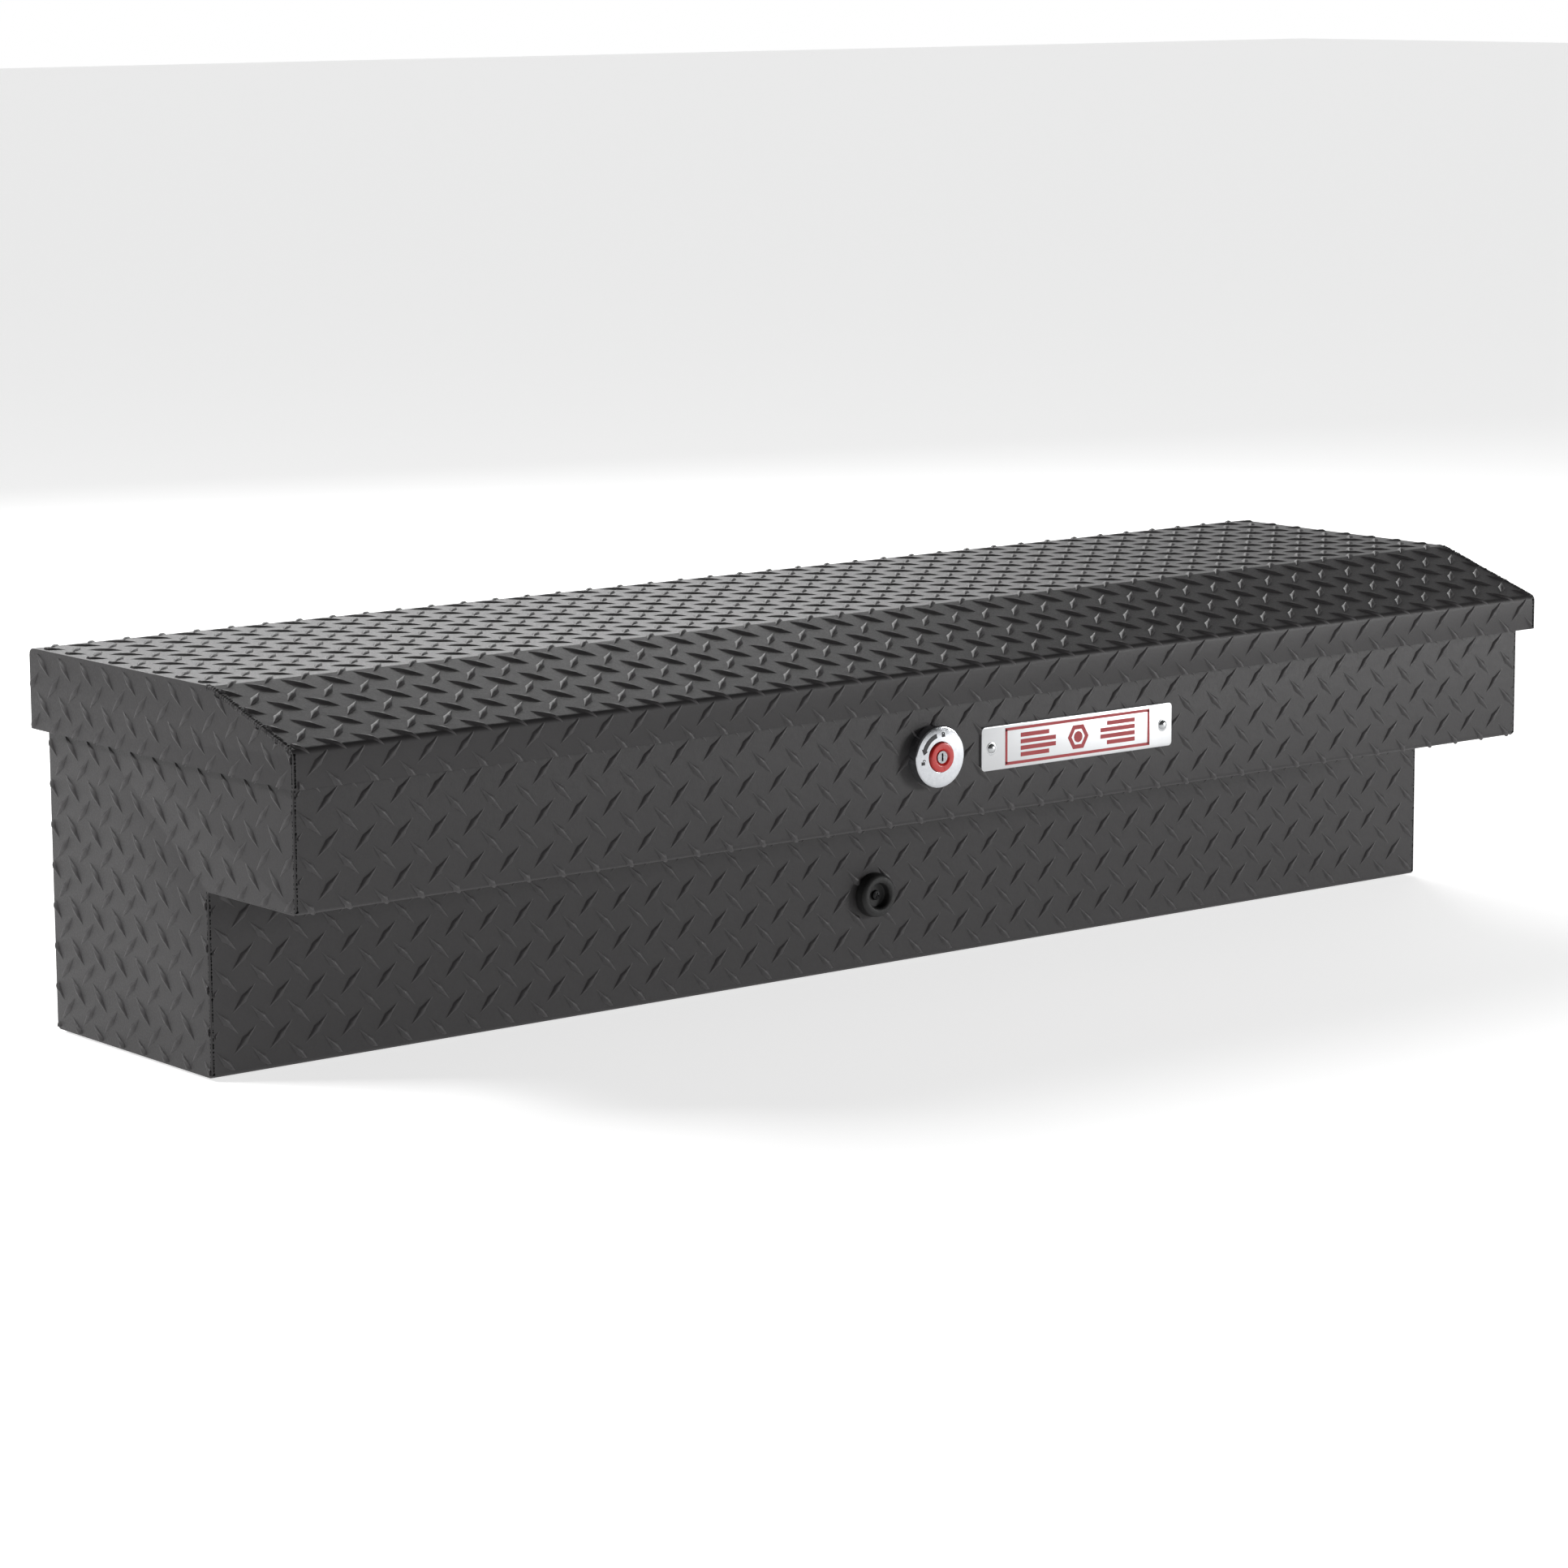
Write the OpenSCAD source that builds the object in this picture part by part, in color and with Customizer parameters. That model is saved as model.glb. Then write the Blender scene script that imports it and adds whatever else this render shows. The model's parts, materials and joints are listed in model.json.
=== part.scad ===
// Lo-side truck tool box: L-shaped tub, hinged lid, push-button lock, rods, hooks and gas struts.
// Origin at the middle of the base, X along the box, -Y towards the front, +Z up.

/* [Box] */
// Overall length of the lid
lid_l = 1429; // [1200:1:1600]
// Depth of the lid, front to back
lid_d = 413; // [380:1:460]
// Height from the base to the lid's top
box_h = 333; // [320:1:350]
// Sheet thickness
sheet_t = 2.2; // [1.6:0.1:3]
// Outer radius of the folded bends
bend_r = 4.5; // [3.5:0.5:6]
// Height of the shelf that rests on the bed rail
shelf_z = 157.5; // [120:0.5:180]
// How far the lower front is set back from the upper front
recess_d = 133; // [100:1:150]

/* [Lid] */
// Height of the flange's lower edge
lid_bottom_z = 263; // [262:0.5:270]
// Top of the front flange, where the slope starts
front_flange_z = 295; // [290:1:300]
// Depth of the flat top's front edge, from the middle
slope_y = -85; // [-100:1:-60]
// Gap between the lid's ends and the tub's ends
end_gap = 6.8; // [5:0.2:9]
// How far the lid opens
lid_open = 80; // [60:1:85]

/* [Lock] */
// Lock's place along the front
lock_x = -38; // [-60:1:-20]
// Lock's height
lock_z = 217; // [210:1:225]
// Diameter of the chrome bezel
bezel_d = 55.5; // [50:0.5:60]
// How far the bezel stands out
bezel_h = 12; // [8:0.5:13]
// Travel of the push button
push = 5; // [4:0.5:6]
// Distance of each hook from the middle
hook_x = 540; // [450:5:600]

/* [Fittings] */
// Length of the nameplate
plate_l = 230; // [200:1:240]
// Height of the nameplate
plate_h = 40; // [30:1:45]
// Outer diameter of the rubber bumper
bumper_d = 41; // [36:1:50]
// Radius of the mounting holes in the shelf
mount_r = 5.5; // [4:0.5:7]

/* [Hidden] */
$fn = 48;

charcoal = "#2e2e30";
chrome = "#c9cbcd";
zinc = "#a9abad";
black = "#161616";
red = "#c0202a";

// Tub planes
tub_x = lid_l / 2 - sheet_t - end_gap;
tub_front = -lid_d / 2 + 15;
tub_rear = lid_d / 2 - 13;
low_front = tub_front + recess_d;
rim_gap = 14.5;
wall_in = tub_front + sheet_t;
// Lid planes
lid_front = -lid_d / 2;
lid_rear = lid_d / 2;
slope_k = (box_h - front_flange_z) / (slope_y - lid_front);
slope_a = atan(slope_k);
lid_bend = 6;
lid_under = box_h - sheet_t;
slope_drop = sheet_t / cos(slope_a);
rim_rear_z = lid_under - rim_gap;
function lid_under_z(y) = min(lid_under, front_flange_z + (y - lid_front) * slope_k - slope_drop);
function rim_z(y) = lid_under_z(y) - rim_gap;
rim_front_z = rim_z(tub_front);
rim_flange = 14;
seal_w = 9;
seal_gap = 0.3;
// Hinge
hinge_y = tub_rear + 5.7;
hinge_z = lid_bottom_z - 6;
knuckle_r = 5.2;
hinge_pin_r = 2;
hinge_half = 690;
knuckles = 23;
knuckle_gap = 0.6;
leaf_t = 1.5;
leaf_h = 30;
rivets = 10;
// Lock mechanism depths
bezel_y = tub_front - bezel_h;
barrel_r = 17;
button_r = 13.2;
key_r = 5.5;
button_face = bezel_y - 2.5;
key_seat = -188;
plug_end = -185;
spindle_r = 5;
spindle_end = -171;
barrel_end = -172;
step_y = -178;
rotor_y = -162;
rotor_t = 3;
rod_y = -158;
rod_r = 2.5;
rod_end = 5;
rod_pin_end = -167;
rod_z = lock_z + 13;
arm = 22;
hook_y = -161;
hook_t = 4;
pivot_z = lock_z + 41;
pivot_r = 3;
bar_z = pivot_z + 27;
bar_r = 3;
striker_y = [-178, -144];
striker_t = 2.5;
leg_y = [-172, -154];
// Gas struts
strut_x = 682;
strut_low = [145, 220];
strut_top = [10, 288];
strut_l = norm(strut_top - strut_low);
strut_a = atan2(strut_top[1] - strut_low[1], strut_top[0] - strut_low[0]);
strut_body = 118;
strut_r = 8;
strut_bore = 6.5;
strut_rod_r = 3;
stud_r = 4;
eye_r = 7.5;
run = 0.05;
// Bumper and nameplate places
bumper_x = 3;
bumper_z = 67;
plate_x = 132.6;
plate_z = 216;

// Points of a bend at corner c between path directions a0 and a1; s is 1 for a right turn
function nrm(a) = [sin(a), -cos(a)];
function bend(c, a0, a1, r, o, s = 1) =
    let (m = c + s * r * (nrm(a0) + nrm(a1)) / (1 + nrm(a0) * nrm(a1)))
    [for (i = [0:6]) m - (s * r - o) * nrm(a0 + (a1 - a0) * i / 6)];

// Line of the tub's folded sheet, o below its outer face
function tub_line(o) = concat(
    [[tub_rear - rim_flange, rim_rear_z - o]],
    bend([tub_rear, rim_rear_z], 0, -90, bend_r, o),
    bend([tub_rear, 0], -90, -180, bend_r, o),
    bend([low_front, 0], -180, -270, bend_r, o),
    bend([low_front, shelf_z], -270, -180, bend_r - sheet_t, o, -1),
    bend([tub_front, shelf_z], -180, -270, bend_r, o),
    bend([tub_front, rim_front_z], -270, -360, bend_r, o),
    [[tub_front + rim_flange, rim_front_z - o]]);

// Line of the lid's folded sheet, o below its outer face
function lid_line(o) = concat(
    [[lid_front + o, lid_bottom_z]],
    bend([lid_front, front_flange_z], 90, slope_a, lid_bend, o),
    bend([slope_y, box_h], slope_a, 0, lid_bend, o),
    bend([lid_rear, box_h], 0, -90, lid_bend, o),
    [[lid_rear - o, lid_bottom_z]]);

function back(p) = [for (i = [len(p) - 1:-1:0]) p[i]];

// A profile in Y and Z, pushed along X
module along_x(x0, x1) {
    translate([x0, 0, 0]) rotate([90, 0, 90]) linear_extrude(x1 - x0) children();
}

// Local Z turned to face the front
module facing(x, y, z) {
    translate([x, y, z]) rotate([90, 0, 0]) children();
}

// A rod or bore between depths y0 and y1
module rod_through(x, z, y0, y1, r) {
    facing(x, y1, z) cylinder(r = r, h = y1 - y0);
}

// The right-hand piece, or its mirror image
module on_side(s) {
    if (s > 0) children(); else mirror([1, 0, 0]) children();
}

module tub_wrapper() color(charcoal) difference() {
    along_x(-tub_x + sheet_t, tub_x - sheet_t) polygon(concat(tub_line(0), back(tub_line(sheet_t))));
    rod_through(lock_x, lock_z, tub_front - 1, wall_in + 1, barrel_r + 0.2);
    for (x = [-550, -200, 200, 550])
        translate([x, -125, shelf_z - 1]) cylinder(r = mount_r, h = sheet_t + 2);
}

// Band along the end panel's top, between heights d0 and d1 above the rim
module rim_band(y0, y1, d0, d1, x0, x1) {
    along_x(x0, x1) polygon([
        [y0, rim_z(y0) + d0], [slope_y, rim_rear_z + d0], [y1, rim_rear_z + d0],
        [y1, rim_rear_z + d1], [slope_y, rim_rear_z + d1], [y0, rim_z(y0) + d1]]);
}

module end_panel(s) color(charcoal) on_side(s) {
    along_x(tub_x - sheet_t, tub_x) polygon(concat(
        [[slope_y, rim_rear_z], [tub_rear, rim_rear_z]],
        bend([tub_rear, 0], -90, -180, bend_r, 0),
        bend([low_front, 0], -180, -270, bend_r, 0),
        bend([low_front, shelf_z], -270, -180, bend_r - sheet_t, 0, -1),
        bend([tub_front, shelf_z], -180, -270, bend_r, 0),
        [[tub_front, rim_front_z]]));
    rim_band(tub_front + rim_flange + 1, tub_rear - rim_flange - 1, -sheet_t, 0,
        tub_x - sheet_t - rim_flange + 2, tub_x - sheet_t);
}

// Four runs of bulb seal that sit on the rim, up to the lid
module rim_seal() color(black) {
    seal_in = 2.5;
    y0 = tub_front + seal_in;
    y1 = tub_rear - seal_in;
    x1 = tub_x - seal_in;
    difference() {
        rim_band(y0, y1, 0.01, rim_gap - seal_gap, -x1, x1);
        rim_band(y0 + seal_w, y1 - seal_w, -5, rim_gap + 5, -x1 + seal_w, x1 - seal_w);
    }
}

// Chrome bezel with its barrel through the front wall
module lock_housing() color(chrome) facing(lock_x, 0, lock_z) rotate_extrude() polygon([
    [button_r + run, -bezel_y], [bezel_d / 2 - 2.5, -bezel_y], [bezel_d / 2, -bezel_y - 2.5],
    [bezel_d / 2, -tub_front], [barrel_r, -tub_front], [barrel_r, -barrel_end],
    [spindle_r + 1, -barrel_end], [spindle_r + 1, -step_y], [button_r + run, -step_y]]);

module lock_nut() color(zinc) difference() {
    facing(lock_x, wall_in + sheet_t + 6, lock_z) cylinder(r = 24, h = 6, $fn = 6);
    rod_through(lock_x, lock_z, wall_in, wall_in + 12, barrel_r + 0.1);
}

// U-shaped bracket under the lock nut, with the rotor's pivot on its back plate
module lock_bracket() color(zinc) {
    half = 40;
    tall = 14;
    back_y = -148;
    difference() {
        translate([lock_x - half, wall_in, lock_z - 24]) cube([2 * half, sheet_t, 48]);
        rod_through(lock_x, lock_z, wall_in - 1, wall_in + 4, barrel_r + 0.2);
    }
    for (x = [-half, half - 2])
        translate([lock_x + x, wall_in, lock_z - tall]) cube([2, back_y - wall_in, 2 * tall]);
    translate([lock_x - half, back_y - 2, lock_z - tall]) cube([2 * half, 2, 2 * tall]);
    rod_through(lock_x, lock_z, rotor_y - rotor_t - 0.5, back_y - 1, 4);
}

module rod_guides() color(black) for (x = [-300, 300]) difference() {
    translate([x - 6, wall_in, rod_z - 9]) cube([12, rod_y + 8 - wall_in, 18]);
    translate([x - 10, rod_y, rod_z]) rotate([0, 90, 0]) cylinder(r = rod_r + 0.4, h = 20);
}

// Channel welded inside the front wall, carrying the hook's pivot
module latch_bracket(s) color(zinc) on_side(s) difference() {
    union() {
        translate([hook_x - 16, -168, pivot_z - 14]) cube([32, 2, 28]);
        for (z = [-14, 12])
            translate([hook_x - 16, wall_in, pivot_z + z]) cube([32, -166 - wall_in, 2]);
    }
    rod_through(hook_x, pivot_z, -169, -165, pivot_r + run);
}

module hook_pivots() color(zinc) for (x = [-hook_x, hook_x]) {
    rod_through(x, pivot_z, -170, -158.5, pivot_r);
    rod_through(x, pivot_z, -170, -168.1, 5);
    rod_through(x, pivot_z, -160.6, -158.5, 5);
}

// Flat plate with rounded corners
module nameplate() color(chrome) facing(plate_x, tub_front, plate_z) linear_extrude(1.2) union() {
    corner = 3;
    square([plate_l - 2 * corner, plate_h], center = true);
    square([plate_l, plate_h - 2 * corner], center = true);
    for (x = [-1, 1], z = [-1, 1])
        translate([x * (plate_l / 2 - corner), z * (plate_h / 2 - corner)]) circle(corner);
}

module nameplate_rivets() color(chrome) for (x = [-1, 1])
    facing(plate_x + x * (plate_l / 2 - 11.5), tub_front - 1.2, plate_z)
        rotate_extrude() polygon([[0, 0], [4.2, 0], [3.8, 1], [2.6, 1.8], [0, 2.2]]);

// Rubber ring bumper with a deep recess
module bumper() color(black) facing(bumper_x, low_front, bumper_z) rotate_extrude() polygon([
    [0, 0], [bumper_d / 2, 0], [bumper_d / 2 - 0.8, 8], [bumper_d / 2 - 2.6, 10.4],
    [bumper_d / 2 - 4.5, 11], [12.4, 11], [11.4, 10], [11, 3], [0, 3]]);

module bumper_screw() color(zinc) facing(bumper_x, low_front - 3, bumper_z)
    rotate_extrude() polygon([[0, 0], [4.6, 0], [4.4, 1.2], [3, 2.4], [1.4, 2.8], [1.4, 1.4], [0, 1.4]]);

// Knuckles of one hinge leaf: parity 0 for the tub's, 1 for the lid's
module hinge_knuckles(parity, root_y, root_z0, root_z1) {
    pitch = 2 * hinge_half / knuckles;
    for (i = [parity:2:knuckles - 1]) {
        x0 = -hinge_half + i * pitch + knuckle_gap / 2;
        translate([x0, hinge_y, hinge_z]) rotate([0, 90, 0])
            cylinder(r = knuckle_r, h = pitch - knuckle_gap);
        translate([x0, root_y, root_z0]) cube([pitch - knuckle_gap, leaf_t, root_z1 - root_z0]);
    }
}

module hinge_bore() {
    translate([-hinge_half - 5, hinge_y, hinge_z]) rotate([0, 90, 0])
        cylinder(r = hinge_pin_r + run, h = 2 * hinge_half + 10);
}

module hinge_leaf_tub() color(zinc) difference() {
    union() {
        translate([-hinge_half, tub_rear, hinge_z - leaf_h]) cube([2 * hinge_half, leaf_t, leaf_h - 5.5]);
        hinge_knuckles(0, tub_rear, hinge_z - 6, hinge_z);
    }
    hinge_bore();
}

module hinge_leaf_lid() color(zinc) difference() {
    leaf_y = lid_rear - sheet_t - leaf_t;
    union() {
        translate([-hinge_half, leaf_y, hinge_z + 5.5]) cube([2 * hinge_half, leaf_t, leaf_h - 5.5]);
        hinge_knuckles(1, leaf_y, hinge_z, hinge_z + 6);
    }
    hinge_bore();
}

module hinge_pin() color(zinc) translate([-hinge_half - 2, hinge_y, hinge_z]) rotate([0, 90, 0])
    cylinder(r = hinge_pin_r, h = 2 * hinge_half + 4);

// A row of rivets along the hinge, shank from y0 to y1, head on one face
module rivet_row(z, y0, y1, head_y) {
    for (i = [0:rivets - 1]) {
        x = (i - (rivets - 1) / 2) * 2 * hinge_half / rivets;
        rod_through(x, z, y0, y1, 2.2);
        rod_through(x, z, head_y, head_y + 1.4, 4.2);
    }
}

module hinge_rivets_tub() color(zinc)
    rivet_row(hinge_z - 20, tub_rear - sheet_t, tub_rear + leaf_t + 1, tub_rear + leaf_t);

module hinge_rivets_lid() color(zinc)
    rivet_row(hinge_z + 20, lid_rear - sheet_t - leaf_t - 1, lid_rear,
        lid_rear - sheet_t - leaf_t - 1.4);

// Tub end of a gas strut: plate on the end panel with a shouldered stud
module strut_mount(s) color(zinc) on_side(s) translate([0, strut_low[0], strut_low[1]]) {
    translate([tub_x - sheet_t - 3, -18, -18]) cube([3, 36, 36]);
    translate([strut_x - 6.2, 0, 0]) rotate([0, 90, 0]) cylinder(r = stud_r, h = 22);
    translate([strut_x + 4.4, 0, 0]) rotate([0, 90, 0]) cylinder(r = eye_r, h = 14);
    translate([strut_x - 6.2, 0, 0]) rotate([0, 90, 0]) cylinder(r = 6, h = 1.8);
}

module lid_skin() color(charcoal) {
    inner = lid_l / 2 - sheet_t;
    along_x(-inner, inner) polygon(concat(lid_line(0), back(lid_line(sheet_t))));
    for (x = [-lid_l / 2, inner])
        along_x(x, x + sheet_t) polygon(lid_line(0));
}

// Hat-shaped stiffener bonded under the lid
module lid_stiffener() color(charcoal) along_x(-560, 560) polygon([
    [10, lid_under], [10, lid_under - 1.6], [28, lid_under - 1.6], [36, lid_under - 16],
    [84, lid_under - 16], [92, lid_under - 1.6], [110, lid_under - 1.6], [110, lid_under],
    [91, lid_under], [83, lid_under - 14.4], [37, lid_under - 14.4], [29, lid_under]]);

// Plate under the lid's slope with a bar for the hook to catch
module striker(s) color(zinc) on_side(s) {
    leg_top = lid_under_z(leg_y[0]) - 1;
    along_x(hook_x - 20, hook_x + 20) polygon([
        [striker_y[0], lid_under_z(striker_y[0])], [striker_y[1], lid_under_z(striker_y[1])],
        [striker_y[1], lid_under_z(striker_y[1]) - striker_t],
        [striker_y[0], lid_under_z(striker_y[0]) - striker_t]]);
    for (y = leg_y) translate([hook_x, y, bar_z]) cylinder(r = bar_r, h = leg_top - bar_z);
    for (y = leg_y) translate([hook_x, y, bar_z]) sphere(bar_r);
    rod_through(hook_x, bar_z, leg_y[0], leg_y[1], bar_r);
}

// Lid end of a gas strut: hanging plate with a short stud beside the strut's eye
module strut_hanger(s) color(zinc) on_side(s) {
    hang_x = strut_x - 14;
    translate([hang_x, strut_top[0] - 14, strut_top[1] - 10])
        cube([4, 28, lid_under - strut_top[1] + 10]);
    translate([hang_x - 20, strut_top[0] - 14, lid_under - 2]) cube([22, 28, 2]);
    translate([hang_x + 3, strut_top[0], strut_top[1]]) rotate([0, 90, 0])
        cylinder(r = stud_r, h = 6.5);
}

module button() color(red) facing(lock_x, 0, lock_z) rotate_extrude() polygon([
    [key_r + run, -button_face], [button_r - 0.8, -button_face], [button_r, -button_face - 0.8],
    [button_r, -plug_end], [spindle_r, -plug_end], [spindle_r, -spindle_end], [0, -spindle_end],
    [0, -key_seat], [key_r + run, -key_seat]]);

module key_plug() color(chrome) difference() {
    facing(lock_x, key_seat - 0.1, lock_z) cylinder(r = key_r, h = key_seat - button_face - 0.8);
    translate([lock_x - 0.9, button_face, lock_z - 3.6]) cube([1.8, 12, 7.2]);
}

module button_spring() color(zinc) facing(lock_x, 0, lock_z)
    for (i = [0:3]) translate([0, 0, 1 - step_y + i * 1.7])
        rotate_extrude() translate([7.6, 0]) circle(0.9, $fn = 24);

// Plate that turns when the button is pushed, with a slot for each rod's pin
module rotor() color(zinc) difference() {
    translate([lock_x - 8, rotor_y - rotor_t, lock_z - arm - 10]) cube([16, rotor_t, 2 * arm + 20]);
    rod_through(lock_x, lock_z, rotor_y - rotor_t - 1, rotor_y + 1, 4 + run);
    for (z = [-arm - 5, arm - 5])
        translate([lock_x - 3, rotor_y - rotor_t - 1, lock_z + z]) cube([6, rotor_t + 2, 10]);
}

// Round bar through points given as [x, z], with slightly upset corners and a pin at each end
module latch_rod(points, pins) {
    last = len(points) - 1;
    for (i = [0:last - 1]) {
        a = points[i];
        b = points[i + 1];
        translate([a[0], rod_y, a[1]]) rotate([0, 90 - atan2(b[1] - a[1], b[0] - a[0]), 0])
            cylinder(r = rod_r, h = norm(b - a));
    }
    for (i = [1:last - 1]) translate([points[i][0], rod_y, points[i][1]]) sphere(rod_r + 0.3);
    for (p = pins) rod_through(p[0], p[1], rod_pin_end, rod_y, rod_r - 0.3);
}

module rod_right() color(zinc) latch_rod(
    [[lock_x - rod_end, lock_z + arm], [22, lock_z + arm], [35, rod_z], [hook_x + rod_end, rod_z]],
    [[lock_x, lock_z + arm], [hook_x, rod_z]]);

module rod_left() color(zinc) latch_rod(
    [[lock_x + rod_end, lock_z - arm], [-98, lock_z - arm], [-150, rod_z], [-hook_x - rod_end, rod_z]],
    [[lock_x, lock_z - arm], [-hook_x, rod_z]]);

// Hook plate: forked tail on the rod's pin, nose over the striker's bar
module hook(s) color(zinc) on_side(s) difference() {
    facing(hook_x, hook_y, pivot_z) linear_extrude(hook_t) union() {
        polygon([
            [-8, -35], [8, -35], [9, 0], [14, 6], [14, 37], [3, 37], [-4, 33], [-4, 30.5],
            [5, 30.5], [5, 10], [-8, 2]]);
        circle(9);
    }
    rod_through(hook_x, pivot_z, hook_y - hook_t - 1, hook_y + 1, pivot_r + run);
    translate([hook_x - 3, hook_y - hook_t - 1, pivot_z - 36]) cube([6, hook_t + 2, 13]);
}

// A frame with its X axis along the strut, from the lower stud to the upper one
module on_strut(s) {
    translate([s * strut_x, strut_low[0], strut_low[1]]) rotate([strut_a, 0, 0])
        rotate([0, 0, 90]) children();
}

// Round piece along the strut, from a to b
module strut_round(a, b, r) {
    translate([a, 0, 0]) rotate([0, 90, 0]) cylinder(r = r, h = b - a);
}

// Eye round the stud's axis
module strut_eye(at, bore) {
    difference() {
        translate([at, 4, 0]) rotate([90, 0, 0]) cylinder(r = eye_r, h = 8);
        translate([at, 5, 0]) rotate([90, 0, 0]) cylinder(r = bore, h = 10);
    }
}

module strut_cylinder(s) color(black) on_strut(s) {
    strut_eye(0, stud_r + run);
    difference() {
        union() {
            strut_round(6.6, 14, 4);
            strut_round(13, strut_body, strut_r);
        }
        strut_round(16, strut_body - 6, strut_bore);
        strut_round(strut_body - 7, strut_body + 1, strut_rod_r + run);
    }
}

module strut_rod(s) color(zinc) on_strut(s) {
    strut_round(18, strut_l - 6.6, strut_rod_r);
    strut_round(18, 24, strut_bore - 0.06);
    strut_eye(strut_l, stud_r + run);
}

tub_wrapper();
end_panel(-1);  // end_panel_left
end_panel(1);  // end_panel_right
rim_seal();
lock_housing();
lock_nut();
lock_bracket();
rod_guides();
latch_bracket(-1);  // latch_bracket_left
latch_bracket(1);  // latch_bracket_right
hook_pivots();
nameplate();
nameplate_rivets();
bumper();
bumper_screw();
hinge_leaf_tub();
hinge_pin();
hinge_rivets_tub();
strut_mount(-1);  // strut_mount_left
strut_mount(1);  // strut_mount_right
lid_skin();
lid_stiffener();
striker(-1);  // striker_left
striker(1);  // striker_right
hinge_leaf_lid();
hinge_rivets_lid();
strut_hanger(-1);  // strut_hanger_left
strut_hanger(1);  // strut_hanger_right
button();
key_plug();
button_spring();
rotor();
rod_left();
rod_right();
hook(-1);  // hook_left
hook(1);  // hook_right
strut_cylinder(-1);  // strut_cylinder_left
strut_cylinder(1);  // strut_cylinder_right
strut_rod(-1);  // strut_rod_left
strut_rod(1);  // strut_rod_right
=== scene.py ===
import json
import math
import random

import bmesh
import bpy
import numpy as np
from mathutils import Matrix, Vector


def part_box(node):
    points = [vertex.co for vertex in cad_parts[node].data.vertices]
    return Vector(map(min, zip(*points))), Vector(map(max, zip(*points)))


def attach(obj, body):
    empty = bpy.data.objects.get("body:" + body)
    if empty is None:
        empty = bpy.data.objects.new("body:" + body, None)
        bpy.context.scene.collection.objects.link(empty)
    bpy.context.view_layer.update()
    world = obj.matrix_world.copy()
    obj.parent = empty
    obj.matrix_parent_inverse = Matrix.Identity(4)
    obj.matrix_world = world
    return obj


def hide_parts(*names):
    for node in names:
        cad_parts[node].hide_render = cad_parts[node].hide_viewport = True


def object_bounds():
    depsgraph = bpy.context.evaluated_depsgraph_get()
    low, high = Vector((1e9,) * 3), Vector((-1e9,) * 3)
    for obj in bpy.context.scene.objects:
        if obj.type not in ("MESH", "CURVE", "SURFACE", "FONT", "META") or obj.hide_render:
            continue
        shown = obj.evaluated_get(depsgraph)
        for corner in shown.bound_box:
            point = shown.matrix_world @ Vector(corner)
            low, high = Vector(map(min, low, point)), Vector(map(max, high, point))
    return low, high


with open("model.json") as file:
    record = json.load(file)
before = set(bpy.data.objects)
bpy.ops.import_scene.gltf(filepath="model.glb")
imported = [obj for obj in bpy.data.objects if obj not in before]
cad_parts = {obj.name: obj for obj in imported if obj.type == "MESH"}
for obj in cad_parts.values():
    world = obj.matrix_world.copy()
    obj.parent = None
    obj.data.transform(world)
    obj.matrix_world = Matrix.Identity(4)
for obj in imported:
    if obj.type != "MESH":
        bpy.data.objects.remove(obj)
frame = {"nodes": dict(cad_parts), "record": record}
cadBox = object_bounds()
mm = 0.001
mounts = {m["name"]: Vector(m["pos_m"]) for m in frame["record"]["mounts"]}
print("frame loaded")


# ---- small helpers

def deselectAll():
    if bpy.context.mode != "OBJECT":
        bpy.ops.object.mode_set(mode="OBJECT")
    bpy.ops.object.select_all(action="DESELECT")


def activate(obj):
    deselectAll()
    obj.select_set(True)
    bpy.context.view_layer.objects.active = obj


def editMesh(obj, selectAll=True):
    activate(obj)
    bpy.ops.object.mode_set(mode="EDIT")
    bpy.ops.mesh.select_all(action="SELECT" if selectAll else "DESELECT")


def leaveEdit():
    bpy.ops.object.mode_set(mode="OBJECT")


def bakePlace(obj):
    activate(obj)
    bpy.ops.object.transform_apply(location=True, rotation=True, scale=True)


def applyModifier(obj, kind, **settings):
    modifier = obj.modifiers.new(kind.title(), kind)
    for key, value in settings.items():
        setattr(modifier, key, value)
    activate(obj)
    bpy.ops.object.modifier_apply(modifier=modifier.name)


def smoothBelow(obj, degrees):
    activate(obj)
    bpy.ops.object.shade_smooth_by_angle(angle=math.radians(degrees))


def cleanNormals(obj):
    editMesh(obj)
    bpy.ops.mesh.remove_doubles(threshold=0.01 * mm)
    bpy.ops.mesh.normals_make_consistent(inside=False)
    leaveEdit()


def meshPiece(name, points, faces):
    mesh = bpy.data.meshes.new(name)
    mesh.from_pydata([tuple(p) for p in points], [], faces)
    obj = bpy.data.objects.new(name, mesh)
    bpy.context.scene.collection.objects.link(obj)
    return obj


def joinPieces(pieces, name):
    deselectAll()
    for piece in pieces:
        piece.select_set(True)
    bpy.context.view_layer.objects.active = pieces[0]
    bpy.ops.object.join()
    pieces[0].name = name
    return pieces[0]


def finishPiece(obj, material, body, replaced=()):
    obj.data.materials.clear()
    obj.data.materials.append(material)
    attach(obj, body)
    if replaced:
        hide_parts(*replaced)
    return obj


# ---- materials

def hexColour(code):
    parts = [int(code[i:i + 2], 16) / 255 for i in (1, 3, 5)]
    linear = [p / 12.92 if p <= 0.04045 else ((p + 0.055) / 1.055) ** 2.4 for p in parts]
    return (*linear, 1.0)


def addNode(tree, kind, values=None, links=None, **settings):
    node = tree.nodes.new(kind)
    for key, value in settings.items():
        setattr(node, key, value)
    for key, value in (values or {}).items():
        node.inputs[key].default_value = value
    for key, source in (links or {}).items():
        tree.links.new(source, node.inputs[key])
    return node


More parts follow.
